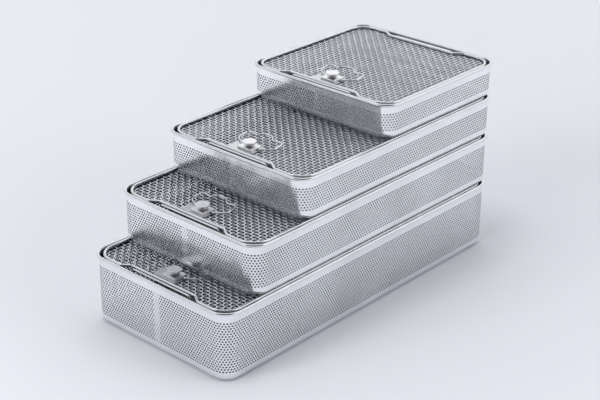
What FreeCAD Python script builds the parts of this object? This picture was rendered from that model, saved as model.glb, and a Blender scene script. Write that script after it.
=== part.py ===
import FreeCAD, Part
import math
import os

# A stack of four perforated steel sterilization baskets, each with a wire mesh lid and a turning lock.
# X runs along the baskets, with the locks at the low end. Y runs across and Z is up. The origin lies on
# the surface that the stack stands on, under the middle of the longest basket. All sizes are in mm.

Vector = FreeCAD.Vector
UP = Vector(0, 0, 1)

# Sizes of the set, from the lowest basket to the highest, over the rims
basket_width = 250.0
basket_lengths = (538.0, 487.0, 402.0, 243.0)
basket_heights = (97.0, 72.0, 58.5, 49.5)
stack_gap = 0.3

# Basket body
rim_corner_radius = 26.0
rim_rod_diameter = 4.2
rim_overhang = 3.0
rim_seat_gap = 0.1
wall_sheet = 0.8
floor_bend_radius = 3.5
floor_bend_steps = 2
flange_width = 6.0
floor_sheet = 0.8
seam_lap_width = 12.0
seam_lap_margin = 8.0

# Lid frame, a round rod with a jog into the lid at both short sides. Its corners turn wider than the rim's
frame_rod_diameter = 4.0
frame_corner_radius = 26.0
frame_side_gap = 1.7
frame_seat_gap = 0.3
jog_depth = 9.1
jog_outer_half_width = 70.0
jog_inner_half_width = 57.0
jog_bend_radius = 6.0

# Woven panel under the frame
mesh_thickness = 2.2
mesh_tuck = 0.9
mesh_seat_gap = 0.1
mesh_border = 5.0

# The fine weave and the fine perforation, drawn as a coarse grid that leaves about the same share open
grid_pitch = 60.0
weave_open_share = 0.74
perforation_open_share = 0.6
plain_band_top = 12.5
plain_band_bottom = 11.0
bar_foot_margin = 6.0

# Latch bars inside the short sides
bar_diameter = 3.2
bar_half_width = 52.0
bar_frame_gap = 1.4
bar_drop = 1.2
bar_leg_length = 20.0
bar_bend_radius = 5.0

# Lugs that carry the lid
lug_width = 12.0
lug_height = 9.0
lug_sheet = 1.0
lug_mesh_gap = 0.3
lug_share_of_length = 0.3
lug_corner_gap = 5.0

# Lock: plate, boss, spindle, backing plate, tongue and knob, measured from the rim's front edge
lock_setback = 35.0
plate_sheet = 1.0
plate_length = 26.0
plate_right_width = 15.0
plate_left_width = 27.0
boss_length = 21.0
boss_width = 24.0
boss_height = 3.6
boss_chamfer = 0.8
spindle_diameter = 6.0
spindle_clearance = 0.05
spindle_hole_gap = 0.5
backing_sheet = 0.8
backing_length = 30.0
backing_width = 34.0
plate_corner_radius = 3.0
tongue_gap = 0.2
tongue_sheet = 1.5
tongue_width = 9.0
tongue_reach = 26.0
drive_width = 4.2
nut_width = 9.0
nut_sides = 6
nut_height = 2.0
knob_gap = 0.1
knob_head_diameter = 18.5
knob_head_height = 2.6
knob_head_bevel = 0.8
knob_waist_diameter = 10.0
knob_ring_diameter = 13.5
knob_ring_height = 1.2
knob_ring_lift = 1.0
knob_height = 6.3

# Handle, a wavy rod hinged by its two ends in the sides of the boss
handle_rod_diameter = 2.4
handle_setback = 38.0
handle_drop = 1.2
handle_bore_depth = 3.0
handle_bore_clearance = 0.1
handle_lobe_half_width = 31.5
handle_lobe_start = 8.5
handle_lobe_end = 29.0
handle_waist_reach = 25.5
handle_waist_half_width = 14.5
handle_tip_reach = 34.0
handle_tip_half_width = 6.0
handle_shoulder = 3.5
handle_shoulder_radius = 3.0
handle_lobe_radius = 8.0
handle_waist_radius = 5.0
handle_bend_radius = 6.0
handle_tilts = (0.0, 8.0, 8.0, 8.0)

# Round forms are drawn with flats: so many round a rod or turned piece, and so many along a bend
rod_sides = 8
thin_rod_sides = 6
corner_steps = 4
rod_bend_steps = 2
leg_bend_steps = 1
jog_bend_steps = 1
plate_corner_steps = 1
turned_sides = 16
bore_sides = 12

stack_rear = basket_lengths[0] / 2
frame_inset = rim_overhang + wall_sheet + frame_side_gap + frame_rod_diameter / 2
bar_inset = frame_inset + jog_depth - frame_rod_diameter / 2 - bar_frame_gap - bar_diameter / 2
mesh_inset = frame_inset + frame_rod_diameter / 2 - mesh_tuck


class Place:
    """Where one basket stands in the stack: its two ends, its underside and the top of its rim."""

    def __init__(self, number, base):
        self.number = number
        self.rear = stack_rear
        self.front = stack_rear - basket_lengths[number - 1]
        self.base = base
        self.rim_top = base + basket_heights[number - 1]
        self.frame_z = self.rim_top - frame_rod_diameter / 2
        contact = frame_rod_diameter / 2 - mesh_tuck
        contact_drop = math.sqrt((frame_rod_diameter / 2) ** 2 - contact ** 2)
        self.mesh_top = self.frame_z - contact_drop - mesh_seat_gap
        self.mesh_bottom = self.mesh_top - mesh_thickness
        self.plate_top = self.mesh_top + plate_sheet
        self.boss_top = self.plate_top + boss_height
        self.backing_bottom = self.mesh_bottom - backing_sheet
        self.tongue_top = self.backing_bottom - tongue_gap
        self.lock_x = self.front + lock_setback
        self.handle_axis = Vector(self.front + handle_setback, 0, self.rim_top - handle_drop)


def bend_points(before, corner, after, radius, chords):
    """Points along the arc that rounds a corner: its two ends and what lies between them."""
    way_in = (corner - before).normalize()
    way_out = (after - corner).normalize()
    half_turn = way_in.getAngle(way_out) / 2
    setback = radius * math.tan(half_turn)
    start = corner - way_in * setback
    end = corner + way_out * setback
    to_centre = (way_out - way_in).normalize()
    centre = corner + to_centre * (radius / math.cos(half_turn))
    points = []
    for step in range(chords + 1):
        angle = half_turn * (2 * step / chords - 1)
        points.append(centre - to_centre * (radius * math.cos(angle)) + (end - start).normalize()
                      * (radius * math.sin(angle)))
    return points


def chorded_points(corners, closed):
    """Points of a path whose corners are given as point, bend radius and count of chords."""
    points = []
    for index, (corner, radius, chords) in enumerate(corners):
        if not closed and index in (0, len(corners) - 1):
            points.append(corner)
            continue
        before = corners[index - 1][0]
        after = corners[(index + 1) % len(corners)][0]
        points += bend_points(before, corner, after, radius, chords)
    if closed:
        middle = (points[0] + points[-1]) / 2
        points = [middle] + points + [middle]
    return points


def rod_along(corners, diameter, sides, closed=False):
    """A rod along a path of chords, mitred at each point. Its section has flats."""
    points = chorded_points(corners, closed)
    way = (points[1] - points[0]).normalize()
    across = way.cross(UP).normalize()
    section = []
    for step in range(sides + 1):
        turn = FreeCAD.Rotation(way, 360 * (step + 0.5) / sides)
        section.append(points[0] + turn.multVec(across) * (diameter / 2))
    path = Part.makePolygon(points)
    return Part.Solid(path.makePipeShell([Part.makePolygon(section)], True, False, 1))


def rim_corners(place, inset, z):
    """Corners of the outline that runs inside the rim's outer edge at this inset and height."""
    front = place.front + inset
    rear = place.rear - inset
    side = basket_width / 2 - inset
    radius = rim_corner_radius - inset
    return [(Vector(x, y, z), radius, corner_steps)
            for x, y in ((front, -side), (rear, -side), (rear, side), (front, side))]


def rim_outline(place, inset, z):
    """Closed outline with rounded corners, at this inset and height."""
    return Part.makePolygon(chorded_points(rim_corners(place, inset, z), closed=True))


def lid_corners(place, inset, z):
    """Corners of the lid's outline at this inset: four round ones and the jogs at both short sides."""
    radius = frame_corner_radius + frame_inset - inset
    near_front, near_rear, far_rear, far_front = [(point, radius, steps)
                                                  for point, _, steps in rim_corners(place, inset, z)]
    jog_run = ((0, -jog_outer_half_width), (jog_depth, -jog_inner_half_width),
               (jog_depth, jog_inner_half_width), (0, jog_outer_half_width))
    rear_jogs = [(Vector(near_rear[0].x - depth, y, z), jog_bend_radius, jog_bend_steps)
                 for depth, y in jog_run]
    front_jogs = [(Vector(near_front[0].x + depth, -y, z), jog_bend_radius, jog_bend_steps)
                  for depth, y in jog_run]
    return [near_front, near_rear] + rear_jogs + [far_rear, far_front] + front_jogs


def slab(outline, height):
    """Flat plate of a closed outline, raised by this height."""
    return Part.Face(outline).extrude(UP * height)


def block(x0, x1, y0, y1, z0, z1):
    """Box between these limits."""
    return Part.makeBox(x1 - x0, y1 - y0, z1 - z0, Vector(x0, y0, z0))


def edges_at(shape, z):
    """The edges that lie flat at this height."""
    tolerance = 1e-6
    return [edge for edge in shape.Edges
            if abs(edge.BoundBox.ZMin - z) < tolerance and abs(edge.BoundBox.ZMax - z) < tolerance]


def bent_tub(place, inset, base, radius):
    """Solid low tub with this inset and underside, its lower edge bent round this radius."""
    outlines = []
    for step in range(floor_bend_steps + 1):
        angle = math.radians(90 * step / floor_bend_steps)
        outlines.append(rim_outline(place, inset + radius * (1 - math.sin(angle)),
                                    base + radius * (1 - math.cos(angle))))
    return Part.makeLoft(outlines, True, True)


def foot_ring(place):
    """Bent sheet ring under the wall, with a flange turned in to carry the floor."""
    outside = bent_tub(place, rim_overhang, place.base, floor_bend_radius)
    inside = bent_tub(place, rim_overhang + wall_sheet, place.base + wall_sheet,
                      floor_bend_radius - wall_sheet)
    opening_inset = rim_overhang + floor_bend_radius + flange_width
    opening = slab(rim_outline(place, opening_inset, place.base - wall_sheet), 3 * wall_sheet)
    return outside.cut(inside).cut(opening)


def openings(low, high, share, count=None):
    """Even openings between two limits, at about the grid's pitch, that leave this share open."""
    if count is None:
        count = max(1, round((high - low) / grid_pitch))
    pitch = (high - low) / count
    closed = pitch * (1 - share) / 2
    return [(low + index * pitch + closed, low + (index + 1) * pitch - closed) for index in range(count)]


def perforation(place):
    """Bars that cut the grid of openings through the straight sides, clear of the seam and the bars' feet."""
    side = basket_width / 2 - rim_corner_radius
    foot_near = bar_half_width - bar_foot_margin
    foot_far = bar_half_width + bar_foot_margin
    across = openings(-foot_near, foot_near, perforation_open_share, 2)
    across += openings(-side, -foot_far, perforation_open_share, 1)
    across += openings(foot_far, side, perforation_open_share, 1)
    along = openings(place.front + rim_corner_radius, place.rear - rim_corner_radius, perforation_open_share)
    bars = []
    for z0, z1 in openings(place.base + plain_band_bottom, place.rim_top - plain_band_top,
                           perforation_open_share):
        bars += [block(place.front, place.rear, y0, y1, z0, z1) for y0, y1 in across]
        bars += [block(x0, x1, -basket_width / 2, basket_width / 2, z0, z1) for x0, x1 in along]
    return bars


def wall(place):
    """Upright perforated band on the foot ring, with a lapped seam inside the front side."""
    rim_centre = place.rim_top - rim_rod_diameter / 2
    rim_reach = rim_rod_diameter / 2 - rim_overhang
    rim_underside = rim_centre - math.sqrt((rim_rod_diameter / 2) ** 2 - rim_reach ** 2)
    bottom = place.base + floor_bend_radius
    top = rim_underside - rim_seat_gap
    inner_inset = rim_overhang + wall_sheet
    outside = slab(rim_outline(place, rim_overhang, bottom), top - bottom)
    inside = slab(rim_outline(place, inner_inset, bottom), top - bottom)
    lap_x = place.front + inner_inset
    lap = block(lap_x - wall_sheet / 2, lap_x + wall_sheet, -seam_lap_width / 2, seam_lap_width / 2,
                place.base + seam_lap_margin, top - seam_lap_margin)
    return outside.cut(inside).fuse(lap).removeSplitter().cut(perforation(place))


def rim_rod(place):
    """Round rod that stiffens the top edge of the wall."""
    centre_z = place.rim_top - rim_rod_diameter / 2
    corners = rim_corners(place, rim_rod_diameter / 2, centre_z)
    return rod_along(corners, rim_rod_diameter, rod_sides, closed=True)


def floor_panel(place):
    """Floor sheet that lies on the foot ring's flange, inside the bend."""
    inset = rim_overhang + floor_bend_radius
    return slab(rim_outline(place, inset, place.base + wall_sheet), floor_sheet)


def latch_bars(place):
    """One bar inside each short side, its legs turned down and out to the wall."""
    bar_z = place.rim_top - bar_drop - bar_diameter / 2
    foot_z = bar_z - bar_leg_length
    bars = []
    for end_x, inward in ((place.front, 1), (place.rear, -1)):
        wall_x = end_x + inward * (rim_overhang + wall_sheet)
        bar_x = end_x + inward * bar_inset
        side = bar_half_width
        run = ((wall_x, -side, foot_z), (bar_x, -side, foot_z), (bar_x, -side, bar_z),
               (bar_x, side, bar_z), (bar_x, side, foot_z), (wall_x, side, foot_z))
        corners = [(Vector(*point), bar_bend_radius, leg_bend_steps) for point in run]
        bars.append(rod_along(corners, bar_diameter, thin_rod_sides))
    return Part.makeCompound(bars)


def lid_rests(place):
    """Angle lugs inside the wall, two on each side, with their flat tops under the lid frame."""
    inner = rim_overhang + wall_sheet
    reach = mesh_inset - lug_mesh_gap - inner
    top = place.frame_z - frame_rod_diameter / 2 - frame_seat_gap
    profile = Part.makePolygon([Vector(0, 0, 0), Vector(reach, 0, 0), Vector(reach, 0, -lug_sheet),
                                Vector(lug_sheet, 0, -lug_sheet), Vector(lug_sheet, 0, -lug_height),
                                Vector(0, 0, -lug_height), Vector(0, 0, 0)])
    lug = Part.Face(profile).extrude(Vector(0, lug_width, 0))
    lug.translate(Vector(0, -lug_width / 2, 0))
    middle = (place.front + place.rear) / 2
    along = lug_share_of_length * (place.rear - place.front)
    side = basket_width / 2 - inner
    short_side_offset = basket_width / 2 - rim_corner_radius - lug_corner_gap - lug_width / 2
    seats = []
    for sign in (-1, 1):
        seats.append((middle + along * sign, -side, 90))
        seats.append((middle + along * sign, side, -90))
        seats.append((place.front + inner, short_side_offset * sign, 0))
        seats.append((place.rear - inner, short_side_offset * sign, 180))
    lugs = []
    for x, y, turn in seats:
        copy = lug.copy()
        copy.rotate(Vector(0, 0, 0), UP, turn)
        copy.translate(Vector(x, y, top))
        lugs.append(copy)
    return Part.makeCompound(lugs)


def lid_frame(place):
    """Round rod of the lid, with the jogs that clear the latch bars."""
    corners = lid_corners(place, frame_inset, place.frame_z)
    return rod_along(corners, frame_rod_diameter, rod_sides, closed=True)


def regular_outline(x, y, z, width, sides):
    """Flat regular polygon, as wide as this from corner to corner."""
    corners = []
    for step in range(sides + 1):
        angle = 2 * math.pi * step / sides
        corners.append(Vector(x + width / 2 * math.cos(angle), y + width / 2 * math.sin(angle), z))
    return Part.makePolygon(corners)


def regular_prism(x, y, z0, z1, width, sides):
    """Upright bar or hole of a regular section."""
    return slab(regular_outline(x, y, z0, width, sides), z1 - z0)


def spindle_hole(place, z0, z1):
    """Hole that the spindle passes with room around it."""
    width = (spindle_diameter + 2 * spindle_hole_gap) / math.cos(math.pi / rod_sides)
    return regular_prism(place.lock_x, 0, z0, z1, width, rod_sides)


def lid_mesh(place):
    """Woven panel, drawn as strips along the lid on top of strips across it, with a seat for the lock."""
    corners = lid_corners(place, mesh_inset, place.mesh_bottom)
    panel = slab(Part.makePolygon(chorded_points(corners, closed=True)), mesh_thickness)
    end = mesh_inset + jog_depth + mesh_border
    side = basket_width / 2 - mesh_inset - mesh_border
    middle = place.mesh_bottom + mesh_thickness / 2
    slots = [block(place.front + end, place.rear - end, y0, y1, middle, place.mesh_top)
             for y0, y1 in openings(-side, side, weave_open_share)]
    slots += [block(x0, x1, -side, side, place.mesh_bottom, middle)
              for x0, x1 in openings(place.front + end, place.rear - end, weave_open_share)]
    half = backing_length / 2
    seat = block(place.lock_x - half, place.lock_x + half, -backing_width / 2, plate_left_width,
                 place.mesh_bottom, place.mesh_top)
    hole = spindle_hole(place, place.mesh_bottom, place.mesh_top)
    return panel.cut(slots).fuse(seat).removeSplitter().cut(hole)


def rounded_plate(x0, x1, y0, y1, z, height, radius):
    """Flat plate with its corners cut off."""
    corners = [(Vector(x, y, z), radius, plate_corner_steps)
               for x, y in ((x0, y0), (x1, y0), (x1, y1), (x0, y1))]
    return slab(Part.makePolygon(chorded_points(corners, closed=True)), height)


def lock_plate(place):
    """Flat plate on the mesh that carries the boss and reaches further to one side."""
    half = plate_length / 2
    plate = rounded_plate(place.lock_x - half, place.lock_x + half, -plate_right_width,
                          plate_left_width, place.mesh_top, plate_sheet, plate_corner_radius)
    return plate.cut(spindle_hole(place, place.mesh_top, place.plate_top))


def lock_boss(place):
    """Block on the plate with the spindle's bearing and the two hinge bores of the handle."""
    half = boss_length / 2
    body = block(place.lock_x - half, place.lock_x + half, -boss_width / 2, boss_width / 2,
                 place.plate_top, place.boss_top)
    body = body.makeChamfer(boss_chamfer, edges_at(body, place.boss_top))
    bearing = regular_prism(place.lock_x, 0, place.plate_top, place.boss_top,
                            spindle_diameter + 2 * spindle_clearance, turned_sides)
    body = body.cut(bearing)
    for sign in (-1, 1):
        bore = regular_prism(0, 0, 0, handle_bore_depth,
                             handle_rod_diameter + 2 * handle_bore_clearance, bore_sides)
        bore.rotate(Vector(0, 0, 0), Vector(1, 0, 0), 90 * sign)
        bore.translate(place.handle_axis + Vector(0, sign * boss_width / 2, 0))
        body = body.cut(bore)
    return body


def backing_plate(place):
    """Plate below the mesh that clamps it against the lock plate."""
    half_length = backing_length / 2
    half_width = backing_width / 2
    plate = rounded_plate(place.lock_x - half_length, place.lock_x + half_length, -half_width,
                          half_width, place.backing_bottom, backing_sheet, plate_corner_radius)
    return plate.cut(spindle_hole(place, place.backing_bottom, place.mesh_bottom))


def square_prism(x, y, z0, z1, width):
    """Upright square bar or hole."""
    return block(x - width / 2, x + width / 2, y - width / 2, y + width / 2, z0, z1)


def tongue(place):
    """Flat bar on the spindle's square, drawn unlocked. A quarter turn brings it under the latch bar."""
    bottom = place.tongue_top - tongue_sheet
    bar = rounded_plate(place.lock_x - tongue_width / 2, place.lock_x + tongue_width / 2,
                        -tongue_width / 2, tongue_reach, bottom, tongue_sheet, tongue_width / 4)
    return bar.cut(square_prism(place.lock_x, 0, bottom, place.tongue_top, drive_width))


def spindle(place):
    """Pin that runs in the boss, squared below the mesh for the tongue, with a nut on its end."""
    bottom = place.tongue_top - tongue_sheet
    pin = regular_prism(place.lock_x, 0, place.plate_top, place.boss_top + knob_gap,
                        spindle_diameter, turned_sides)
    drive = square_prism(place.lock_x, 0, bottom, place.plate_top, drive_width)
    nut = regular_prism(place.lock_x, 0, bottom - nut_height, bottom, nut_width, nut_sides)
    return pin.fuse(drive).fuse(nut)


def knob(place):
    """Turned knob with a wide flat head and a waist that runs on the boss and carries a ring."""
    bottom = place.boss_top + knob_gap
    neck_top = knob_height - knob_head_height
    ring_top = knob_ring_lift + knob_ring_height
    rings = ((0, knob_ring_lift, knob_waist_diameter, knob_waist_diameter),
             (knob_ring_lift, ring_top, knob_ring_diameter, knob_ring_diameter),
             (ring_top, neck_top, knob_waist_diameter, knob_waist_diameter),
             (neck_top, neck_top + knob_head_bevel, knob_head_diameter - 2 * knob_head_bevel,
              knob_head_diameter),
             (neck_top + knob_head_bevel, knob_height, knob_head_diameter, knob_head_diameter))
    body = None
    for low, high, low_width, high_width in rings:
        outlines = [regular_outline(place.lock_x, 0, bottom + z, width, turned_sides)
                    for z, width in ((low, low_width), (high, high_width))]
        ring = Part.makeLoft(outlines, True, True)
        body = ring if body is None else body.fuse(ring)
    return body.removeSplitter()


def handle(place):
    """Wavy loop of rod: two lobes, a waist beside each and a tip between them."""
    stub_y = boss_width / 2 - handle_bore_depth + handle_bore_clearance
    half_outline = [(0, stub_y, 0), (0, boss_width / 2 + handle_shoulder, handle_shoulder_radius),
                    (handle_lobe_start, handle_lobe_half_width, handle_lobe_radius),
                    (handle_lobe_end, handle_lobe_half_width, handle_bend_radius),
                    (handle_waist_reach, handle_waist_half_width, handle_waist_radius),
                    (handle_tip_reach, handle_tip_half_width, handle_bend_radius)]
    mirrored = [(x, -y, radius) for x, y, radius in reversed(half_outline)]
    corners = [(place.handle_axis + Vector(x, y, 0), radius, rod_bend_steps)
               for x, y, radius in half_outline + mirrored]
    loop = rod_along(corners, handle_rod_diameter, thin_rod_sides)
    loop.rotate(place.handle_axis, Vector(0, 1, 0), -handle_tilts[place.number - 1])
    return loop


PIECES = (
    ("basket_{}_wall", wall), ("basket_{}_foot_ring", foot_ring), ("basket_{}_rim_rod", rim_rod),
    ("basket_{}_floor", floor_panel), ("basket_{}_latch_bars", latch_bars),
    ("basket_{}_lid_rests", lid_rests),
    ("lid_{}_frame", lid_frame), ("lid_{}_mesh", lid_mesh), ("lid_{}_lock_plate", lock_plate),
    ("lid_{}_lock_boss", lock_boss), ("lid_{}_backing_plate", backing_plate),
    ("lid_{}_tongue", tongue), ("lid_{}_spindle", spindle), ("lid_{}_knob", knob),
    ("lid_{}_handle", handle),
)


def main():
    """Write every piece of every basket, from the bottom of the stack to its top."""
    os.makedirs("parts", exist_ok=True)
    base = 0.0
    for number in range(1, len(basket_lengths) + 1):
        place = Place(number, base)
        for name, make in PIECES:
            make(place).exportStep("parts/" + name.format(number) + ".step")
        base = place.rim_top + stack_gap


main()
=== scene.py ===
import math

import bmesh
import bpy
import numpy as np
from mathutils import Matrix, Vector


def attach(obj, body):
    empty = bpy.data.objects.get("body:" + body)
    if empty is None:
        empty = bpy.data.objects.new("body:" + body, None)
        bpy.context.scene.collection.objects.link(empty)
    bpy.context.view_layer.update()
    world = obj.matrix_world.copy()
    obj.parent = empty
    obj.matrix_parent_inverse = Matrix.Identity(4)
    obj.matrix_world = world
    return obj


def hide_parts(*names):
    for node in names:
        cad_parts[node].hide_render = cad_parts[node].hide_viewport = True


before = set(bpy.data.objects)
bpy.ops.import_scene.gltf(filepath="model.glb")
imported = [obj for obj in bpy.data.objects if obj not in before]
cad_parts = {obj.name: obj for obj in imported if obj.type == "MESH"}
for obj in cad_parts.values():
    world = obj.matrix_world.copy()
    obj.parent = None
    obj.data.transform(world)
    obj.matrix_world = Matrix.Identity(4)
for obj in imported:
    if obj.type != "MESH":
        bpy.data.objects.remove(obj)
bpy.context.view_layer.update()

# Sizes in mm, as the solids have them
MM = 0.001
BASKET_WIDTH = 250.0
BASKET_LENGTHS = (538.0, 487.0, 402.0, 243.0)
BASKET_HEIGHTS = (97.0, 72.0, 58.5, 49.5)
STACK_GAP = 0.3
STACK_REAR = BASKET_LENGTHS[0] / 2
RIM_CORNER_RADIUS = 26.0
RIM_ROD_DIAMETER = 4.2
WALL_INSET = 3.0
WALL_SHEET = 0.8
FOOT_BEND_RADIUS = 8.0
FLANGE_WIDTH = 6.0
FLOOR_SHEET = 0.8
FRAME_ROD_DIAMETER = 4.0
FRAME_INSET = 7.5
FRAME_CORNER_RADIUS = 26.0
JOG_DEPTH = 9.1
JOG_OUTER_HALF_WIDTH = 70.0
JOG_INNER_HALF_WIDTH = 57.0
JOG_BEND_RADIUS = 6.0
MESH_TOP_DROP = 3.77
MESH_THICKNESS = 2.2
MESH_INSET = 8.6
BAR_DIAMETER = 3.2
BAR_INSET = 11.6
BAR_HALF_WIDTH = 52.0
BAR_DROP = 1.2
BAR_LEG_LENGTH = 20.0
BAR_BEND_RADIUS = 5.0
LOCK_SETBACK = 35.0
HANDLE_SETBACK = 38.0
HANDLE_DROP = 1.2
HANDLE_TILTS = (0.0, 8.0, 8.0, 8.0)
HANDLE_ROD_DIAMETER = 2.4

# Wall sheet: its top edge lies under the rim's top, and its lap lies behind the seam in the front side
WALL_TOP_DROP = 4.0
WALL_EDGE_STRIP = 2.0
SEAM_LAP_MARGIN = 8.0
SEAM_LAP_GAP = 0.02
SEAM_LAP_BEVEL = 0.25

# Perforation: pitch along a row, distance between rows, and the plain bands above and below
WALL_PITCH = 4.1
WALL_HOLE_RADIUS = 1.29
SEAM_HALF_WIDTH = 6.0
SEAM_HOLE_RADIUS = 0.8
PLAIN_BAND_TOP = 8.5
PLAIN_BAND_BOTTOM = 11.0
FLOOR_PITCH = 6.0
FLOOR_HOLE_RADIUS = 1.7
FLOOR_BORDER = 12.0
ROW_RATIO = math.sqrt(3) / 2
HOLE_SIDES = 8
FOOT_STEP = 4.0
FOOT_BEND_POINTS = 9
SHARP_EDGE = math.radians(40)

# Weave
WEAVE_PITCH = 6.15
WIRE_DIAMETER = 1.4
WIRE_LIFT = 0.6
WIRE_SIDES = 8
SEGMENTS_PER_CROSSING = 4
WIRE_END_GAP = 0.3
SHORTEST_WIRE = 2.0
WEAVE_MARGIN = 2.0
LOCK_HOLE_HALF_WIDTH = 4.6
OUTLINE_STEP = 10.0

# Lock: the boss, and the knob's profile as (radius, height), with grooves above and below its ring, which
# are painted dark as painted shade
BOSS_HALF_LENGTH = 10.5
BOSS_HALF_WIDTH = 12.0
BOSS_BELOW_RIM = 2.77
BOSS_ABOVE_RIM = 0.83
BOSS_BEVEL = 0.9
KNOB_LIFT = 0.93
KNOB_PROFILE = ((0.05, 0.0), (5.0, 0.0), (5.0, 1.0), (6.75, 1.0), (6.75, 2.2), (5.0, 2.2), (5.0, 3.7),
                (8.45, 3.7), (9.25, 4.5), (9.25, 6.0), (8.9, 6.3), (7.6, 6.3), (7.3, 6.15), (0.05, 6.15))
KNOB_EDGE_RADIUS = 0.25
KNOB_EDGE_STEP = 30.0
LONGEST_SETBACK = 0.45
KNOB_SIDES = 72
KNOB_SHARP_EDGE = math.radians(35)
KNOB_GROOVE_RADIUS = 5.1
KNOB_NECK_TOP = 3.8

# Half of the handle as (distance from its axis, distance from the middle, bend radius)
HANDLE_RUN = ((0, 9.1, 0), (0, 15.5, 3.0), (8.5, 31.5, 8.0), (29.0, 31.5, 6.0), (25.5, 14.5, 5.0),
              (34.0, 6.0, 6.0))

# Sides of the tubes, and degrees between the points of their bends
ROD_SIDES = 16
ROD_STEP = 6.0
BAR_SIDES = 12
BAR_STEP = 10.0
HANDLE_SIDES = 14
HANDLE_STEP = 8.0

# Share of the map that a piece takes up. The second side of a sheet lies above the first
MAP_WIDTH = 0.98
MAP_HEIGHT = 0.48
MAP_SECOND_SIDE = 0.5
MAP_MARGIN = 0.01
MAP_SHEET_LOW = 20.0
MAP_SHEET_EXTRA = 25.0

# Studio, in metres: the room is dark on one side and grey on the left, and its ceiling is bright
ROOM_SIDE = (-0.555, -0.502, 0.663)
ROOM_EDGE = (0.68, 0.76)
ROOM_DARK = (0.09, 0.09, 0.11)
LEFT_SIDE = (-0.45, 0.89, 0.0)
LEFT_EDGE = (0.45, 0.75)
LEFT_GREY = (0.66, 0.67, 0.70)
CEILING = (1.0, 1.01, 1.03)
SIDES = (0.97, 0.98, 1.0)
HORIZON = (0.45, 0.46, 0.48)
SKY = ((0.0, HORIZON), (0.05, SIDES), (0.5, SIDES), (0.7, CEILING), (1.0, CEILING))
SWEEP = (0.86, 0.88, 0.92)
FLOOR_SIZE = 16
FLOOR_ROUGHNESS = 0.9
# The floor's colour goes from FLOOR_NEAR to FLOOR_FAR over FLOOR_CHANGE metres from the object: painted
# light on the far floor.
FLOOR_NEAR = (0.71, 0.727, 0.77)
FLOOR_FAR = (0.95, 0.962, 0.995)
FLOOR_CHANGE = (0.4, 1.8)

# Name, place, width, radiance, colour, and whether the steel mirrors the lamp
LAMPS = (("key", (-3.0, 0.5, 1.4), 1.8, 4.8, (1.0, 0.99, 0.97), False),
         ("side", (0.9, -2.6, 1.5), 1.6, 1.7, (0.99, 0.99, 1.0), False),
         ("floor", (-0.4, 0.05, 2.5), 0.8, 8.0, (1.0, 1.0, 1.0), False))
LAMP_AIM = (0, 0, 0.1)
CAMERA_PLACE = (-1.2807, -1.1585, 0.9368)
CAMERA_TURN = (1.8806, -0.8272, 0.5304)
CAMERA_LENS = 84.81
CAMERA_SENSOR = 36.0
CAMERA_RANGE = (0.05, 50.0)


class Place:
    """Where one basket stands in the stack, in mm."""

    def __init__(self, number, base):
        self.number = number
        self.rear = STACK_REAR
        self.front = STACK_REAR - BASKET_LENGTHS[number - 1]
        self.base = base
        self.rim_top = base + BASKET_HEIGHTS[number - 1]
        self.lock_x = self.front + LOCK_SETBACK


def stack_places():
    places = []
    base = 0.0
    for number in range(1, len(BASKET_LENGTHS) + 1):
        place = Place(number, base)
        places.append(place)
        base = place.rim_top + STACK_GAP
    return places


# ---------------------------------------------------------------- materials

def node(tree, kind, **inputs):
    """A shader node whose inputs are set to a value or linked to a socket."""
    made = tree.nodes.new(kind)
    for name, value in inputs.items():
        socket = made.inputs[name.replace("_", " ")]
        if isinstance(value, bpy.types.NodeSocket):
            tree.links.new(value, socket)
        else:
            socket.default_value = value
    return made


def noise(tree, position, scale, detail, stretch=(1.0, 1.0, 1.0)):
    mapping = node(tree, "ShaderNodeMapping", Vector=position)
    mapping.inputs["Scale"].default_value = stretch
    return node(tree, "ShaderNodeTexNoise", Vector=mapping.outputs[0], Scale=scale, Detail=detail).outputs[0]


def span(tree, value, low, high, to_low, to_high):
    """Maps one range onto another."""
    made = node(tree, "ShaderNodeMapRange", Value=value)
    made.inputs["From Min"].default_value = low
    made.inputs["From Max"].default_value = high
    made.inputs["To Min"].default_value = to_low
    made.inputs["To Max"].default_value = to_high
    return made.outputs[0]


def ramp(tree, value, stops):
    """Colours at stops along a value from 0 to 1."""
    made = node(tree, "ShaderNodeValToRGB", Fac=value)
    elements = made.color_ramp.elements
    while len(elements) < len(stops):
        elements.new(1.0)
    for element, (position, colour) in zip(elements, stops):
        element.position = position
        element.color = (*colour, 1)
    return made.outputs[0]


def bump(tree, height, strength, distance):
    made = node(tree, "ShaderNodeBump", Height=height)
    made.inputs["Strength"].default_value = strength
    made.inputs["Distance"].default_value = distance
    return made


# A noise value keeps mostly between these two
NOISE_LOW = 0.3
NOISE_HIGH = 0.7
CLOUD_DETAIL = 3.0
GRAIN_DETAIL = 2.0
WAVE_DETAIL = 1.0
GRAIN_ROUGHNESS = 0.03
GRAIN_STRENGTH = 0.6


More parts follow.
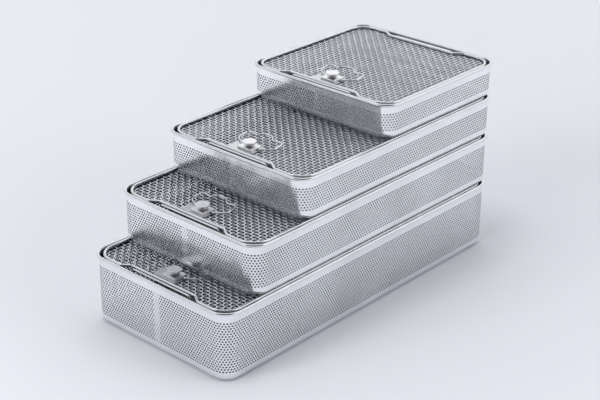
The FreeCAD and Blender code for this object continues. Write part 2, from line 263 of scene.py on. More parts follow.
def steel(name, tint, roughness, cloud, grain, wave=None, tint_spread=0.06):
    """Stainless steel with clouding, a fine grain and, on sheet, a slight waviness.

    cloud is (scale, spread of roughness), grain (scale, stretch, depth) and wave (scale, depth), with the
    depths in metres.
    """
    cloud_scale, cloud_spread = cloud
    grain_scale, grain_stretch, grain_depth = grain
    material = bpy.data.materials.new(name)
    material.use_nodes = True
    tree = material.node_tree
    shader = tree.nodes["Principled BSDF"]
    position = node(tree, "ShaderNodeTexCoord").outputs["Object"]
    clouds = noise(tree, position, cloud_scale, CLOUD_DETAIL)
    grains = noise(tree, position, grain_scale, GRAIN_DETAIL, grain_stretch)
    dark = tuple(channel * (1 - tint_spread) for channel in tint)
    light = tuple(min(1.0, channel * (1 + tint_spread)) for channel in tint)
    tree.links.new(ramp(tree, clouds, ((NOISE_LOW, dark), (NOISE_HIGH, light))), shader.inputs["Base Color"])
    rough = node(tree, "ShaderNodeMath")
    rough.operation = "ADD"
    clouded = span(tree, clouds, NOISE_LOW, NOISE_HIGH, roughness - cloud_spread, roughness + cloud_spread)
    grained = span(tree, grains, NOISE_LOW, NOISE_HIGH, -GRAIN_ROUGHNESS, GRAIN_ROUGHNESS)
    tree.links.new(clouded, rough.inputs[0])
    tree.links.new(grained, rough.inputs[1])
    tree.links.new(rough.outputs[0], shader.inputs["Roughness"])
    fine = bump(tree, grains, GRAIN_STRENGTH, grain_depth)
    if wave:
        wave_scale, wave_depth = wave
        broad = bump(tree, noise(tree, position, wave_scale, WAVE_DETAIL), 1.0, wave_depth)
        tree.links.new(broad.outputs[0], fine.inputs["Normal"])
    tree.links.new(fine.outputs[0], shader.inputs["Normal"])
    shader.inputs["Metallic"].default_value = 1.0
    return material


ALL_WAYS = (1.0, 1.0, 1.0)
BRUSHED_X = (6.0, 1.0, 1.0)
BRUSHED_Y = (1.0, 8.0, 1.0)
BRUSHED_Z = (1.0, 1.0, 6.0)
MATERIALS = {
    "wall": steel("perforated_steel", (0.885, 0.893, 0.915), 0.20, (14.0, 0.05), (900.0, BRUSHED_Z, 0.00002),
                  (28.0, 0.0012)),
    # The inside steel is the wall's steel painted near black: painted shade inside the basket and in its
    # holes.
    "inside": steel("inside_painted_shade_steel", (0.19, 0.19, 0.21), 0.38, (18.0, 0.05), (800.0, BRUSHED_X, 0.00002),
                    (20.0, 0.0008)),
    # The floor sheet's steel is painted dark: painted shade inside the basket, seen through the lid mesh.
    "floor": steel("floor_sheet_painted_shade_steel", (0.30, 0.305, 0.33), 0.36, (18.0, 0.05),
                   (800.0, BRUSHED_X, 0.00002)),
    "rod": steel("polished_rod_steel", (0.81, 0.815, 0.84), 0.11, (60.0, 0.03), (500.0, ALL_WAYS, 0.00002)),
    "wire": steel("woven_wire_steel", (0.88, 0.885, 0.92), 0.18, (40.0, 0.05), (700.0, ALL_WAYS, 0.00002)),
    "lock": steel("lock_steel", (0.95, 0.95, 0.96), 0.36, (90.0, 0.03), (900.0, BRUSHED_Y, 0.00001),
                  tint_spread=0.03),
    # The groove steel is painted near black: painted shade in the knob's grooves.
    "groove": steel("knob_groove_painted_shade_steel", (0.10, 0.10, 0.12), 0.45, (90.0, 0.05),
                    (900.0, BRUSHED_Y, 0.00002)),
    "plate": steel("lock_plate_steel", (0.72, 0.73, 0.74), 0.34, (120.0, 0.06), (900.0, BRUSHED_Y, 0.00003)),
}


# ---------------------------------------------------------------- pieces

def four_cornered(*corners):
    """Faces from the indices of their four corners."""
    return np.stack(corners, axis=-1).reshape(-1, 4)


def piece(name, points, faces, material, body, replaced, places=None):
    """An object made from points in mm and four-cornered faces. places puts the points on its map."""
    mesh = bpy.data.meshes.new(name)
    mesh.vertices.add(len(points))
    mesh.vertices.foreach_set("co", (np.asarray(points) * MM).astype(np.float32).ravel())
    mesh.loops.add(faces.size)
    mesh.loops.foreach_set("vertex_index", faces.astype(np.int32).ravel())
    mesh.polygons.add(len(faces))
    mesh.polygons.foreach_set("loop_start", np.arange(0, faces.size, faces.shape[1], dtype=np.int32))
    mesh.update(calc_edges=True)
    mesh.polygons.foreach_set("use_smooth", np.full(len(faces), True))
    if places is not None:
        layer = mesh.uv_layers.new(name="OFBake")
        layer.uv.foreach_set("vector", places[faces.ravel()].astype(np.float32).ravel())
    return finished(name, mesh, material, body, replaced)


def finished(name, mesh, material, body, replaced):
    """Puts a mesh in the scene as a piece that rides on its body."""
    made = bpy.data.objects.new(name, mesh)
    bpy.context.scene.collection.objects.link(made)
    mesh.materials.append(MATERIALS[material])
    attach(made, body)
    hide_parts(replaced)
    return made


BEVEL_STEPS = 3


def bevelled_box(name, low, high, bevel, material, body, replaced):
    """Box with rounded edges."""
    made = bmesh.new()
    bmesh.ops.create_cube(made, size=1.0)
    low = Vector(low) * MM
    high = Vector(high) * MM
    size = high - low
    bmesh.ops.scale(made, vec=size, verts=made.verts)
    bmesh.ops.translate(made, vec=(low + high) / 2, verts=made.verts)
    bmesh.ops.bevel(made, geom=made.edges, offset=bevel * MM, segments=BEVEL_STEPS, profile=0.5,
                    affect="EDGES")
    mesh = bpy.data.meshes.new(name)
    made.to_mesh(mesh)
    made.free()
    mesh.polygons.foreach_set("use_smooth", np.full(len(mesh.polygons), False))
    return finished(name, mesh, material, body, replaced)


# ---------------------------------------------------------------- rods

def arc_points(before, corner, after, radius, turn_step):
    """Points of the arc that rounds a corner."""
    way_in = (corner - before) / np.linalg.norm(corner - before)
    way_out = (after - corner) / np.linalg.norm(after - corner)
    turn = math.acos(float(np.clip(way_in @ way_out, -1, 1)))
    if radius <= 0 or turn < 1e-6:
        return [corner]
    setback = radius * math.tan(turn / 2)
    start = corner - way_in * setback
    chord = way_in + way_out
    chord /= np.linalg.norm(chord)
    inward = way_out - way_in
    inward /= np.linalg.norm(inward)
    centre = corner + inward * radius / math.cos(turn / 2)
    steps = max(2, int(math.ceil(math.degrees(turn) / turn_step)))
    angles = np.linspace(-turn / 2, turn / 2, steps + 1)
    return [centre - inward * radius * math.cos(a) + chord * radius * math.sin(a) for a in angles]


def path_points(corners, closed, turn_step):
    """Points of a path of corners given as (x, y, z, bend radius)."""
    spots = [np.array(corner[:3], dtype=float) for corner in corners]
    points = []
    for index, corner in enumerate(corners):
        if not closed and index in (0, len(corners) - 1):
            points.append(spots[index])
            continue
        before = spots[index - 1]
        after = spots[(index + 1) % len(spots)]
        points += arc_points(before, spots[index], after, corner[3], turn_step)
    return np.array(points)


def tube(points, radius, sides, closed):
    """Points and faces of a round tube along a path, its section carried without twist."""
    points = np.asarray(points, dtype=float)
    if closed:
        ahead = np.roll(points, -1, axis=0) - points
        behind = points - np.roll(points, 1, axis=0)
    else:
        ahead = np.vstack([points[1:] - points[:-1], points[-1:] - points[-2:-1]])
        behind = np.vstack([ahead[:1], points[1:] - points[:-1]])
    ahead /= np.linalg.norm(ahead, axis=1)[:, None]
    behind /= np.linalg.norm(behind, axis=1)[:, None]
    way = ahead + behind
    way /= np.linalg.norm(way, axis=1)[:, None]
    stretch = 1 / np.clip((ahead * way).sum(axis=1), 0.5, 1)
    up = np.array([0.0, 0.0, 1.0]) if abs(way[0][2]) < 0.9 else np.array([1.0, 0.0, 0.0])
    side = np.cross(way[0], up)
    side /= np.linalg.norm(side)
    angles = np.arange(sides) * 2 * math.pi / sides
    rings = []
    for index in range(len(points)):
        side = side - way[index] * (side @ way[index])
        side /= np.linalg.norm(side)
        rise = np.cross(side, way[index])
        bend = ahead[index] - behind[index]
        size = np.linalg.norm(bend)
        offsets = np.cos(angles)[:, None] * side + np.sin(angles)[:, None] * rise
        if size > 1e-6:
            inward = bend / size
            offsets = offsets + np.outer(offsets @ inward, inward) * (stretch[index] - 1)
        rings.append(points[index] + offsets * radius)
    rings = np.array(rings)
    count = len(rings)
    spans = count if closed else count - 1
    i = np.arange(spans)[:, None]
    j = np.arange(sides)[None, :]
    nxt = (i + 1) % count
    after = (j + 1) % sides
    faces = four_cornered(i * sides + j, i * sides + after, nxt * sides + after, nxt * sides + j)
    return rings.reshape(-1, 3), faces[:, ::-1]


def joined(parts):
    """Several sets of points and faces as one."""
    points = []
    faces = []
    offset = 0
    for part_points, part_faces in parts:
        points.append(part_points)
        faces.append(part_faces + offset)
        offset += len(part_points)
    return np.vstack(points), np.vstack(faces)


def rim_corners(place, inset, z):
    side = BASKET_WIDTH / 2 - inset
    radius = RIM_CORNER_RADIUS - inset
    front = place.front + inset
    rear = place.rear - inset
    spots = ((front, -side), (rear, -side), (rear, side), (front, side))
    return [(x, y, z, radius) for x, y in spots]


def lid_corners(place, inset, z):
    radius = FRAME_CORNER_RADIUS + FRAME_INSET - inset
    corners = [(*corner[:3], radius) for corner in rim_corners(place, inset, z)]
    near_front, near_rear, far_rear, far_front = corners
    run = ((0, -JOG_OUTER_HALF_WIDTH), (JOG_DEPTH, -JOG_INNER_HALF_WIDTH),
           (JOG_DEPTH, JOG_INNER_HALF_WIDTH), (0, JOG_OUTER_HALF_WIDTH))
    rear = [(near_rear[0] - depth, y, z, JOG_BEND_RADIUS) for depth, y in run]
    front = [(near_front[0] + depth, -y, z, JOG_BEND_RADIUS) for depth, y in run]
    return [near_front, near_rear] + rear + [far_rear, far_front] + front


def rim_rod(place):
    z = place.rim_top - RIM_ROD_DIAMETER / 2
    path = path_points(rim_corners(place, RIM_ROD_DIAMETER / 2, z), True, ROD_STEP)
    piece(f"basket_{place.number}_rim", *tube(path, RIM_ROD_DIAMETER / 2, ROD_SIDES, True), "rod",
          f"basket_{place.number}", f"basket_{place.number}_rim_rod")


def lid_frame(place):
    z = place.rim_top - FRAME_ROD_DIAMETER / 2
    path = path_points(lid_corners(place, FRAME_INSET, z), True, ROD_STEP)
    piece(f"lid_{place.number}_frame_rod", *tube(path, FRAME_ROD_DIAMETER / 2, ROD_SIDES, True), "rod",
          f"lid_{place.number}", f"lid_{place.number}_frame")


def latch_bars(place):
    z = place.rim_top - BAR_DROP - BAR_DIAMETER / 2
    foot = z - BAR_LEG_LENGTH
    side = BAR_HALF_WIDTH
    parts = []
    for end, inward in ((place.front, 1), (place.rear, -1)):
        edge = end + inward * (WALL_INSET + WALL_SHEET)
        x = end + inward * BAR_INSET
        run = ((edge, -side, foot), (x, -side, foot), (x, -side, z), (x, side, z), (x, side, foot),
               (edge, side, foot))
        corners = [(*spot, BAR_BEND_RADIUS) for spot in run]
        parts.append(tube(path_points(corners, False, BAR_STEP), BAR_DIAMETER / 2, BAR_SIDES, False))
    piece(f"basket_{place.number}_bars", *joined(parts), "rod", f"basket_{place.number}",
          f"basket_{place.number}_latch_bars")


def handle(place):
    run = list(HANDLE_RUN) + [(x, -y, radius) for x, y, radius in reversed(HANDLE_RUN)]
    tilt = math.radians(HANDLE_TILTS[place.number - 1])
    axis_x = place.front + HANDLE_SETBACK
    axis_z = place.rim_top - HANDLE_DROP
    corners = [(axis_x + x * math.cos(tilt), y, axis_z + x * math.sin(tilt), radius) for x, y, radius in run]
    path = path_points(corners, False, HANDLE_STEP)
    piece(f"lid_{place.number}_loop", *tube(path, HANDLE_ROD_DIAMETER / 2, HANDLE_SIDES, False), "rod",
          f"handle_{place.number}", f"lid_{place.number}_handle")


# ---------------------------------------------------------------- perforated sheet

def perforated_grid(columns, rows, pitch, hole_radius, closed):
    """Flat staggered perforation. Returns points, faces, hole rings, and the index of the grid's lines.

    Every row has boundary points at half its height, so that a border can be joined on at both ends.
    """
    row_height = pitch * ROW_RATIO
    halves = 2 * columns
    line_count = halves if closed else halves + 1
    lines_u, lines_v = np.meshgrid(np.arange(line_count) * pitch / 2, np.arange(rows + 1) * row_height)
    points = [np.stack([lines_u.ravel(), lines_v.ravel()], axis=1)]

    def line(i, j):
        """Index of the point on the grid's line j."""
        return j * line_count + (i % line_count if closed else i)

    middle_start = line_count * (rows + 1)
    middle_count = columns if closed else columns + 2
    middles = []
    for row in range(rows):
        shift = (row % 2) * 0.5
        if closed:
            u = (np.arange(columns) + shift) * pitch
        elif row % 2:
            u = np.concatenate([[0.0], (np.arange(columns) + 0.5) * pitch, [columns * pitch]])
        else:
            u = np.concatenate([np.arange(columns + 1) * pitch, [columns * pitch]])
        middles.append(np.stack([u, np.full(len(u), (row + 0.5) * row_height)], axis=1))
    points.append(np.vstack(middles))
    ring_start = middle_start + middle_count * rows
    cells = [(column, row) for row in range(rows)
             for column in range(columns if closed or row % 2 == 0 else columns - 1)]
    column, row = np.array(cells).T
    odd = row % 2
    centre = np.stack([(column + 0.5 + 0.5 * odd) * pitch, (row + 0.5) * row_height], axis=1)
    angles = np.arange(HOLE_SIDES) * 2 * math.pi / HOLE_SIDES
    radii = np.broadcast_to(hole_radius(centre) if callable(hole_radius) else hole_radius, len(centre))
    circle = np.stack([np.cos(angles), np.sin(angles)], axis=1)
    ring = centre[:, None, :] + radii[:, None, None] * circle[None]
    points.append(ring.reshape(-1, 2))
    left = 2 * column + odd
    first_middle = column + (0 if closed else odd)
    last_middle = (column + 1) % columns if closed else first_middle + 1
    bounds = np.stack([
        middle_start + row * middle_count + last_middle, line(left + 2, row + 1), line(left + 1, row + 1),
        line(left, row + 1), middle_start + row * middle_count + first_middle, line(left, row),
        line(left + 1, row), line(left + 2, row)], axis=1)
    rings = ring_start + np.arange(len(cells))[:, None] * HOLE_SIDES + np.arange(HOLE_SIDES)[None]
    faces = four_cornered(rings, bounds, np.roll(bounds, -1, axis=1), np.roll(rings, -1, axis=1))
    if not closed:
        ends = []
        for odd_row in range(1, rows, 2):
            start = middle_start + odd_row * middle_count
            end = start + middle_count - 1
            for outer, inner, edge, near in ((start, start + 1, 0, 1), (end, end - 1, halves, halves - 1)):
                low = [line(edge, odd_row), line(near, odd_row), inner, outer]
                high = [outer, inner, line(near, odd_row + 1), line(edge, odd_row + 1)]
                ends += [low, high] if edge == 0 else [low[::-1], high[::-1]]
        faces = np.vstack([faces, np.array(ends)])
    return np.vstack(points), faces, rings, line


def two_sided(top, under, faces, rings):
    """A sheet with both sides and the walls of its holes, from the points of each side."""
    count = len(top)
    points = np.vstack([top, under, top[rings.ravel()], under[rings.ravel()]])
    holes = len(rings)
    first = 2 * count + (np.arange(holes)[:, None] * HOLE_SIDES + np.arange(HOLE_SIDES)[None])
    second = first + holes * HOLE_SIDES
    walls = four_cornered(first, np.roll(first, -1, axis=1), np.roll(second, -1, axis=1), second)
    return points, np.vstack([faces, faces[:, ::-1] + count, walls])


def perimeter_map(place):
    """Function that places distances along the wall, from the middle of the front side, and its length."""
    radius = RIM_CORNER_RADIUS - WALL_INSET
    long_run = (place.rear - place.front) - 2 * RIM_CORNER_RADIUS
    short_run = BASKET_WIDTH - 2 * RIM_CORNER_RADIUS
    arc = radius * math.pi / 2
    x0 = place.front + RIM_CORNER_RADIUS
    x1 = place.rear - RIM_CORNER_RADIUS
    y1 = BASKET_WIDTH / 2 - RIM_CORNER_RADIUS
    legs = [(short_run / 2, (x0, 0), (x0, -y1), 180, 180), (arc, (x0, -y1), (x0, -y1), 180, 270),
            (long_run, (x0, -y1), (x1, -y1), 270, 270), (arc, (x1, -y1), (x1, -y1), 270, 360),
            (short_run, (x1, -y1), (x1, y1), 360, 360), (arc, (x1, y1), (x1, y1), 360, 450),
            (long_run, (x1, y1), (x0, y1), 450, 450), (arc, (x0, y1), (x0, y1), 450, 540),
            (short_run / 2, (x0, y1), (x0, 0), 540, 540)]
    ends = np.cumsum([0.0] + [leg[0] for leg in legs])

    def spots(along):
        along = np.mod(along, ends[-1])
        index = np.clip(np.searchsorted(ends, along, side="right") - 1, 0, len(legs) - 1)
        share = (along - ends[index]) / np.array([leg[0] for leg in legs])[index]
        start = np.array([leg[1] for leg in legs])[index]
        finish = np.array([leg[2] for leg in legs])[index]
        angle = np.radians(np.array([leg[3] for leg in legs])[index] * (1 - share)
                           + np.array([leg[4] for leg in legs])[index] * share)
        base = start + (finish - start) * share[:, None]
        return base, np.stack([np.cos(angle), np.sin(angle)], axis=1)

    return spots, ends[-1]


def wall(place):
    """Upright perforated band with plain edges above and below."""
    spots, length = perimeter_map(place)
    columns = int(round(length / WALL_PITCH))
    pitch = length / columns
    row_height = pitch * ROW_RATIO
    top = place.rim_top - WALL_TOP_DROP
    available = (top - PLAIN_BAND_TOP) - (place.base + PLAIN_BAND_BOTTOM)
    rows = int(available / row_height)

    def hole_radius(centre):
        """The holes are smaller where the sheet laps at the seam, in the middle of the front side."""
        from_seam = np.minimum(centre[:, 0] % length, length - centre[:, 0] % length)
        return np.where(from_seam < SEAM_HALF_WIDTH, SEAM_HOLE_RADIUS, WALL_HOLE_RADIUS)

    flat, faces, rings, _ = perforated_grid(columns, rows, pitch, hole_radius, True)
    field_low = place.base + PLAIN_BAND_BOTTOM + (available - rows * row_height) / 2
    halves = 2 * columns
    heights = (place.base + FOOT_BEND_RADIUS, top - WALL_EDGE_STRIP, top)
    foot, strip, rim = [np.arange(halves) + len(flat) + index * halves for index in range(len(heights))]
    lowest = np.arange(halves)
    highest = rows * halves + lowest
    plain = [np.stack([low, np.roll(low, -1), np.roll(high, -1), high], axis=1)
             for low, high in ((foot, lowest), (highest, strip), (strip, rim))]
    all_faces = np.vstack([faces] + plain)
    u = np.concatenate([flat[:, 0], np.tile(lowest * pitch / 2, len(heights))])
    z = np.concatenate([field_low + flat[:, 1], np.repeat(heights, halves)])
    base, normal = spots(u)

    def side(depth):
        """Points of the sheet at a depth below its outer side."""
        return np.column_stack([base + normal * (RIM_CORNER_RADIUS - WALL_INSET - depth), z])

    points, quads = two_sided(side(0.0), side(WALL_SHEET), all_faces, rings)
    total = len(u)
    edges = []
    for edge, flip in ((foot, False), (rim, True)):
        quad = np.stack([edge, edge + total, np.roll(edge, -1) + total, np.roll(edge, -1)], axis=1)
        edges.append(quad[:, ::-1] if flip else quad)
    quads = np.vstack([quads] + edges)
    across = both_sides(u, rings) / length
    share = (both_sides(z, rings) - place.base + MAP_SHEET_LOW) / (top - place.base + MAP_SHEET_EXTRA)
    made = piece(f"basket_{place.number}_perforated_wall", points, quads, "wall", f"basket_{place.number}",
                 f"basket_{place.number}_wall", sheet_map(across, share, total, rings))
    # The inside faces and the hole walls get the inside steel, painted dark as painted shade.
    inner_faces(made, len(all_faces), len(quads) - 2 * halves)
    made.data.set_sharp_from_angle(angle=SHARP_EDGE)
    seam(place, top)


def both_sides(values, rings):
    """Values of the flat points, repeated for both sides of a sheet and for both edges of its holes."""
    return np.concatenate([values, values, values[rings.ravel()], values[rings.ravel()]])


def sheet_map(across, share, total, rings):
    """Map places of a sheet, with its second side above the first."""
    level = np.concatenate([np.zeros(total), np.ones(total), np.zeros(rings.size), np.ones(rings.size)])
    return np.column_stack([across * MAP_WIDTH, share * MAP_HEIGHT + level * MAP_SECOND_SIDE])


def inner_faces(made, first, last):
    """Gives the faces on the inside of a sheet and in its holes a duller steel, painted dark as painted
    shade inside the basket.
    """
    made.data.materials.append(MATERIALS["inside"])
    slots = np.zeros(len(made.data.polygons), dtype=np.int32)
    slots[first:last] = 1
    made.data.polygons.foreach_set("material_index", slots)


def foot_ring(place):
    """Bent ring under the wall, its edge rolled in to a flat flange under the floor."""
    spots, length = perimeter_map(place)
    columns = int(round(length / FOOT_STEP))
    along = np.arange(columns) * length / columns
    base, normal = spots(along)
    inner = FOOT_BEND_RADIUS - WALL_SHEET
    centre = WALL_INSET + FOOT_BEND_RADIUS
    turns = np.radians(np.linspace(90, 0, FOOT_BEND_POINTS))
    outer = FOOT_BEND_RADIUS
    profile = [(centre - outer * math.sin(a), outer * (1 - math.cos(a))) for a in turns]
    profile += [(centre + FLANGE_WIDTH, 0.0), (centre + FLANGE_WIDTH, WALL_SHEET)]
    profile += [(centre - inner * math.sin(a), FOOT_BEND_RADIUS - inner * math.cos(a)) for a in turns[::-1]]
    profile = np.array(profile)
    count = len(profile)
    reach = RIM_CORNER_RADIUS - profile[:, 0]
    heights = place.base + profile[:, 1]
    points = np.concatenate([np.column_stack([base + normal * reach[k], np.full(columns, heights[k])])
                             for k in range(count)])
    k = np.arange(count)[:, None]
    i = np.arange(columns)[None, :]
    ring = k * columns
    next_ring = (k + 1) % count * columns
    after = (i + 1) % columns
    faces = four_cornered(ring + i, next_ring + i, next_ring + after, ring + after)
    made = piece(f"basket_{place.number}_bent_foot", points, faces, "wall", f"basket_{place.number}",
                 f"basket_{place.number}_foot_ring")
    made.data.set_sharp_from_angle(angle=SHARP_EDGE)


def seam(place, top):
    """Lap of sheet behind the middle of the front wall."""
    x = place.front + WALL_INSET + WALL_SHEET
    low = (x + SEAM_LAP_GAP, -SEAM_HALF_WIDTH, place.base + SEAM_LAP_MARGIN)
    high = (x + WALL_SHEET - SEAM_LAP_GAP, SEAM_HALF_WIDTH, top - SEAM_LAP_MARGIN)
    bevelled_box(f"basket_{place.number}_seam_lap", low, high, SEAM_LAP_BEVEL, "wall",
                 f"basket_{place.number}", f"basket_{place.number}_wall")


def floor_panel(place):
    """Perforated floor with a plain border."""
    inset = WALL_INSET + FOOT_BEND_RADIUS
    x0, x1 = place.front + inset, place.rear - inset
    y1 = BASKET_WIDTH / 2 - inset
    columns = int((x1 - x0 - 2 * FLOOR_BORDER) / FLOOR_PITCH)
    row_height = FLOOR_PITCH * ROW_RATIO
    rows = int((2 * y1 - 2 * FLOOR_BORDER) / row_height) // 2 * 2 + 1
    flat, faces, rings, line = perforated_grid(columns, rows, FLOOR_PITCH, FLOOR_HOLE_RADIUS, False)
    width = columns * FLOOR_PITCH
    depth = rows * row_height
    flat = flat + np.array([(x0 + x1 - width) / 2, -depth / 2])
    halves = 2 * columns
    middle_start = (halves + 1) * (rows + 1)
    middle_count = columns + 2
    middles = [middle_start + row * middle_count for row in range(rows)]
    bottom = [line(i, 0) for i in range(halves + 1)]
    right = [index for row in range(rows) for index in
             (middles[row] + (middle_count - 1 if row % 2 else columns), line(halves, row + 1))]
    upper = [line(i, rows) for i in range(halves - 1, -1, -1)]
    left = [index for row in range(rows - 1, -1, -1) for index in (middles[row], line(0, row))]
    ring = np.array(bottom + right + upper + left[:-1])
    radius = RIM_CORNER_RADIUS - inset
    corner = np.array([[x0 + radius, -y1 + radius], [x1 - radius, y1 - radius]])
    inner = flat[ring]
    nearest = np.clip(inner, corner[0], corner[1])
    away = inner - nearest
    on_side = np.linalg.norm(away, axis=1) < 1e-9
    gaps = np.stack([inner[:, 0] - x0, x1 - inner[:, 0], inner[:, 1] + y1, y1 - inner[:, 1]], axis=1)
    facing = np.array([[-1.0, 0], [1, 0], [0, -1], [0, 1]])[np.argmin(gaps, axis=1)]
    distance = np.maximum(np.linalg.norm(away, axis=1), 1e-9)[:, None]
    direction = np.where(on_side[:, None], facing, away / distance)
    outer = nearest + direction * radius
    straight = on_side[:, None] & (facing != 0)
    limits = np.where(facing > 0, np.array([x1, y1]), np.array([x0, -y1]))
    outer = np.where(straight, limits, np.where(on_side[:, None], inner, outer))
    count = len(flat)
    outline = count + np.arange(len(ring))
    rim = np.stack([ring, outline, np.roll(outline, -1), np.roll(ring, -1)], axis=1)
    flat = np.vstack([flat, outer])
    all_faces = np.vstack([faces, rim])
    total = len(flat)
    under, top = [np.column_stack([flat, np.full(total, z)])
                  for z in (place.base + WALL_SHEET, place.base + WALL_SHEET + FLOOR_SHEET)]
    points, quads = two_sided(top, under, all_faces, rings)
    edge = np.stack([outline, outline + total, np.roll(outline, -1) + total, np.roll(outline, -1)], axis=1)
    quads = np.vstack([quads, edge])
    across = both_sides(flat[:, 0] - x0, rings) / (x1 - x0)
    share = both_sides(flat[:, 1] + y1, rings) / (2 * y1)
    # The floor sheet gets the dark floor steel, painted dark as painted shade.
    piece(f"basket_{place.number}_floor_panel", points, quads, "floor", f"basket_{place.number}",
          f"basket_{place.number}_floor", sheet_map(across, share, total, rings))


# ---------------------------------------------------------------- woven lid

def crossings(outline, axis, value):
    """Where a line at this value of one axis crosses the outline, sorted along the other axis."""
    start = outline
    finish = np.roll(outline, -1, axis=0)
    a = start[:, axis] - value
    b = finish[:, axis] - value
    hit = (a < 0) != (b < 0)
    share = a[hit] / (a[hit] - b[hit])
    other = 1 - axis
    return np.sort(start[hit, other] + share * (finish[hit, other] - start[hit, other]))


def clear_of_lock(low, high, centre):
    """A wire's span, in two where it meets the hole for the lock."""
    if low < centre < high:
        return [(low, centre - LOCK_HOLE_HALF_WIDTH), (centre + LOCK_HOLE_HALF_WIDTH, high)]
    return [(low, high)]


def woven(place):
    """Crimped wires along and across the lid, over and under each other in turn."""
    corners = [(x, y, 0.0, radius) for x, y, _, radius in lid_corners(place, MESH_INSET, 0.0)]
    outline = path_points(corners, True, OUTLINE_STEP)[:, :2]
    mid_z = place.rim_top - MESH_TOP_DROP - MESH_THICKNESS / 2
    front, rear = outline[:, 0].min(), outline[:, 0].max()
    side = outline[:, 1].max()
    along_count = int((2 * side - WEAVE_MARGIN) / WEAVE_PITCH)
    across_count = int((rear - front - WEAVE_MARGIN) / WEAVE_PITCH)
    ys = (np.arange(along_count) - (along_count - 1) / 2) * WEAVE_PITCH
    first_x = front + (rear - front - (across_count - 1) * WEAVE_PITCH) / 2
    xs = first_x + np.arange(across_count) * WEAVE_PITCH
    step = WEAVE_PITCH / SEGMENTS_PER_CROSSING
    lock_spot = (place.lock_x, 0.0)
    for axis, values, origin, name, sign in ((1, ys, xs[0], "along", 1), (0, xs, ys[0], "across", -1)):
        parts = []
        for index, value in enumerate(values):
            cuts = crossings(outline, axis, value)
            spans = list(zip(cuts[0::2], cuts[1::2]))
            if abs(value - lock_spot[axis]) < LOCK_HOLE_HALF_WIDTH:
                centre = lock_spot[1 - axis]
                spans = [half for low, high in spans for half in clear_of_lock(low, high, centre)]
            for low, high in spans:
                if high - low < SHORTEST_WIRE:
                    continue
                first = math.ceil((low + WIRE_END_GAP - origin) / step)
                last = math.floor((high - WIRE_END_GAP - origin) / step)
                marks = np.concatenate([[low], origin + np.arange(first, last + 1) * step, [high]])
                phase = (marks - origin) / WEAVE_PITCH + index
                z = mid_z + sign * WIRE_LIFT * np.cos(math.pi * phase)
                fixed = np.full(len(marks), value)
                line = np.column_stack([marks, fixed, z] if axis == 1 else [fixed, marks, z])
                parts.append(wire(line, axis))
        points, faces = joined(parts)
        share = (points[:, :2] - np.array([front, -side])) / np.array([rear - front, 2 * side])
        piece(f"lid_{place.number}_wires_{name}", points, faces, "wire", f"lid_{place.number}",
              f"lid_{place.number}_mesh", share * MAP_WIDTH + MAP_MARGIN)


def wire(line, axis):
    """A thin crimped wire, its section kept square to the way it runs as seen from above."""
    angles = np.arange(WIRE_SIDES) * 2 * math.pi / WIRE_SIDES
    slope = np.gradient(line, axis=0)
    slope /= np.linalg.norm(slope, axis=1)[:, None]
    side = np.array([0.0, 1.0, 0.0]) if axis == 1 else np.array([-1.0, 0.0, 0.0])
    rise = np.cross(slope, side)
    radius = WIRE_DIAMETER / 2
    rings = (line[:, None, :] + radius * np.cos(angles)[None, :, None] * side
             + radius * np.sin(angles)[None, :, None] * rise[:, None, :])
    count = len(line)
    i = np.arange(count - 1)[:, None]
    j = np.arange(WIRE_SIDES)[None, :]
    after = (j + 1) % WIRE_SIDES
    faces = four_cornered(i * WIRE_SIDES + j, (i + 1) * WIRE_SIDES + j, (i + 1) * WIRE_SIDES + after,
                          i * WIRE_SIDES + after)
    return rings.reshape(-1, 3), faces[:, ::-1]


# ---------------------------------------------------------------- lock

def turned(name, profile, x, z, material, body, replaced):
    """Piece turned about an upright axis from a profile of (radius, height) in mm."""
    profile = np.array(profile, dtype=float)
    angles = np.arange(KNOB_SIDES) * 2 * math.pi / KNOB_SIDES
    ring = np.stack([np.cos(angles), np.sin(angles)], axis=1)
    middle = np.array([x, 0.0])
    points = np.concatenate([np.column_stack([middle + radius * ring, np.full(KNOB_SIDES, z + height)])
                             for radius, height in profile])
    i = np.arange(len(profile) - 1)[:, None] * KNOB_SIDES
    j = np.arange(KNOB_SIDES)[None, :]
    after = (j + 1) % KNOB_SIDES
    faces = four_cornered(i + j, i + after, i + KNOB_SIDES + after, i + KNOB_SIDES + j)
    made = piece(name, points, faces, material, body, replaced)
    made.data.set_sharp_from_angle(angle=KNOB_SHARP_EDGE)
    return made


def rounded(corners, radius, turn_step):
    """Profile with its corners rounded."""
    spots = [np.array([r, h, 0.0]) for r, h in corners]
    points = [corners[0]]
    for before, corner, after in zip(spots[:-2], spots[1:-1], spots[2:]):
        room = min(np.linalg.norm(corner - before), np.linalg.norm(after - corner)) * LONGEST_SETBACK
        arc = arc_points(before, corner, after, min(radius, room), turn_step)
        points += [(point[0], point[1]) for point in arc]
    points.append(corners[-1])
    return points


def knob(place):
    """Knob with a flat head, a ring and grooves above and below the ring, the grooves painted dark as
    painted shade.
    """
    bottom = place.rim_top + KNOB_LIFT
    profile = rounded(KNOB_PROFILE, KNOB_EDGE_RADIUS, KNOB_EDGE_STEP)
    made = turned(f"lid_{place.number}_turned_knob", profile, place.lock_x, bottom, "lock",
                  f"knob_{place.number}", f"lid_{place.number}_knob")
    # The waist faces in the grooves get the near-black groove steel: painted shade.
    made.data.materials.append(MATERIALS["groove"])
    for face in made.data.polygons:
        spot = face.center / MM
        from_axis = math.hypot(spot.x - place.lock_x, spot.y)
        if from_axis < KNOB_GROOVE_RADIUS and spot.z < bottom + KNOB_NECK_TOP:
            face.material_index = 1


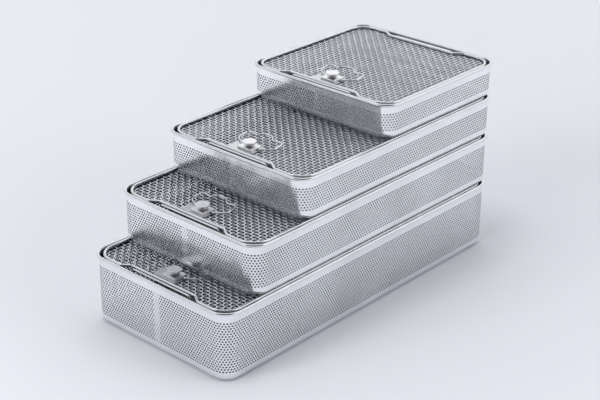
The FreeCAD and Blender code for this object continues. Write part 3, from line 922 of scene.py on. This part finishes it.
def boss(place):
    low = (place.lock_x - BOSS_HALF_LENGTH, -BOSS_HALF_WIDTH, place.rim_top - BOSS_BELOW_RIM)
    high = (place.lock_x + BOSS_HALF_LENGTH, BOSS_HALF_WIDTH, place.rim_top + BOSS_ABOVE_RIM)
    bevelled_box(f"lid_{place.number}_boss", low, high, BOSS_BEVEL, "lock", f"lid_{place.number}",
                 f"lid_{place.number}_lock_boss")


KEPT = (("lid_{}_lock_plate", "plate"), ("lid_{}_backing_plate", "plate"), ("lid_{}_tongue", "lock"),
        ("lid_{}_spindle", "lock"), ("basket_{}_lid_rests", "wall"))


def keep_nodes(places):
    """The nodes whose solids are shown get their material."""
    for place in places:
        for part, material in KEPT:
            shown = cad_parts[part.format(place.number)]
            shown.data.materials.clear()
            shown.data.materials.append(MATERIALS[material])


# ---------------------------------------------------------------- studio

# Places of the two colours among a mix node's inputs, and of the mixed colour among its outputs
MIX_FIRST = 6
MIX_SECOND = 7
MIX_RESULT = 2


def mixed(tree, share, first, colour):
    """Goes from the first colour's socket to a plain colour with the share."""
    made = node(tree, "ShaderNodeMix", Factor=share)
    made.data_type = "RGBA"
    tree.links.new(first, made.inputs[MIX_FIRST])
    made.inputs[MIX_SECOND].default_value = (*colour, 1)
    return made.outputs[MIX_RESULT]


def facing(tree, direction, way, edge):
    """Share from 0 to 1 of how closely a direction points one way."""
    made = node(tree, "ShaderNodeVectorMath")
    made.operation = "DOT_PRODUCT"
    tree.links.new(direction, made.inputs[0])
    made.inputs[1].default_value = way
    return span(tree, made.outputs["Value"], *edge, 0.0, 1.0)


def studio_floor():
    """Pale floor, its colour painted a little lighter away from the object as painted light."""
    bpy.ops.mesh.primitive_plane_add(size=FLOOR_SIZE, location=(0, 0, 0))
    ground = bpy.context.object
    ground.name = "studio_floor"
    material = bpy.data.materials.new("studio_floor_paint_and_painted_light")
    material.use_nodes = True
    tree = material.node_tree
    shader = tree.nodes["Principled BSDF"]
    away = node(tree, "ShaderNodeVectorMath")
    away.operation = "LENGTH"
    tree.links.new(node(tree, "ShaderNodeTexCoord").outputs["Object"], away.inputs[0])
    distance = span(tree, away.outputs["Value"], *FLOOR_CHANGE, 0.0, 1.0)
    tree.links.new(ramp(tree, distance, ((0.0, FLOOR_NEAR), (1.0, FLOOR_FAR))), shader.inputs["Base Color"])
    shader.inputs["Roughness"].default_value = FLOOR_ROUGHNESS
    ground.data.materials.append(material)


def studio_world():
    """What the steel mirrors, and the plain colour that the camera sees behind the floor."""
    world = bpy.data.worlds.new("studio_world")
    bpy.context.scene.world = world
    world.use_nodes = True
    tree = world.node_tree
    background = tree.nodes["Background"]
    direction = node(tree, "ShaderNodeTexCoord").outputs["Generated"]
    around = ramp(tree, node(tree, "ShaderNodeSeparateXYZ", Vector=direction).outputs["Z"], SKY)
    around = mixed(tree, facing(tree, direction, LEFT_SIDE, LEFT_EDGE), around, LEFT_GREY)
    around = mixed(tree, facing(tree, direction, ROOM_SIDE, ROOM_EDGE), around, ROOM_DARK)
    seen = mixed(tree, node(tree, "ShaderNodeLightPath").outputs["Is Camera Ray"], around, SWEEP)
    tree.links.new(seen, background.inputs["Color"])
    background.inputs["Strength"].default_value = 1.0


def studio_lamps():
    for name, location, size, radiance, colour, mirrored in LAMPS:
        data = bpy.data.lights.new(name, "AREA")
        data.size = size
        data.energy = radiance * math.pi * size * size
        data.color = colour
        lamp = bpy.data.objects.new(name, data)
        lamp.location = location
        lamp.rotation_euler = (Vector(LAMP_AIM) - Vector(location)).to_track_quat("-Z", "Y").to_euler()
        lamp.visible_glossy = mirrored
        bpy.context.scene.collection.objects.link(lamp)


def studio_camera():
    """Camera at the place and turn fitted to the rims of the four baskets."""
    data = bpy.data.cameras.new("camera")
    data.sensor_fit = "HORIZONTAL"
    data.sensor_width = CAMERA_SENSOR
    data.lens = CAMERA_LENS
    data.clip_start, data.clip_end = CAMERA_RANGE
    camera = bpy.data.objects.new("camera", data)
    turn = Vector(CAMERA_TURN)
    to_camera = Matrix.Rotation(turn.length, 3, turn.normalized())
    camera.matrix_world = (Matrix.Translation(CAMERA_PLACE)
                           @ (to_camera.transposed() @ Matrix.Diagonal((1, -1, -1))).to_4x4())
    bpy.context.scene.collection.objects.link(camera)
    bpy.context.scene.camera = camera
    bpy.context.scene.view_settings.view_transform = "Standard"


stack = stack_places()
for basket in stack:
    wall(basket)
    foot_ring(basket)
    rim_rod(basket)
    floor_panel(basket)
    latch_bars(basket)
    lid_frame(basket)
    woven(basket)
    boss(basket)
    knob(basket)
    handle(basket)
keep_nodes(stack)
studio_floor()
studio_world()
studio_lamps()
studio_camera()
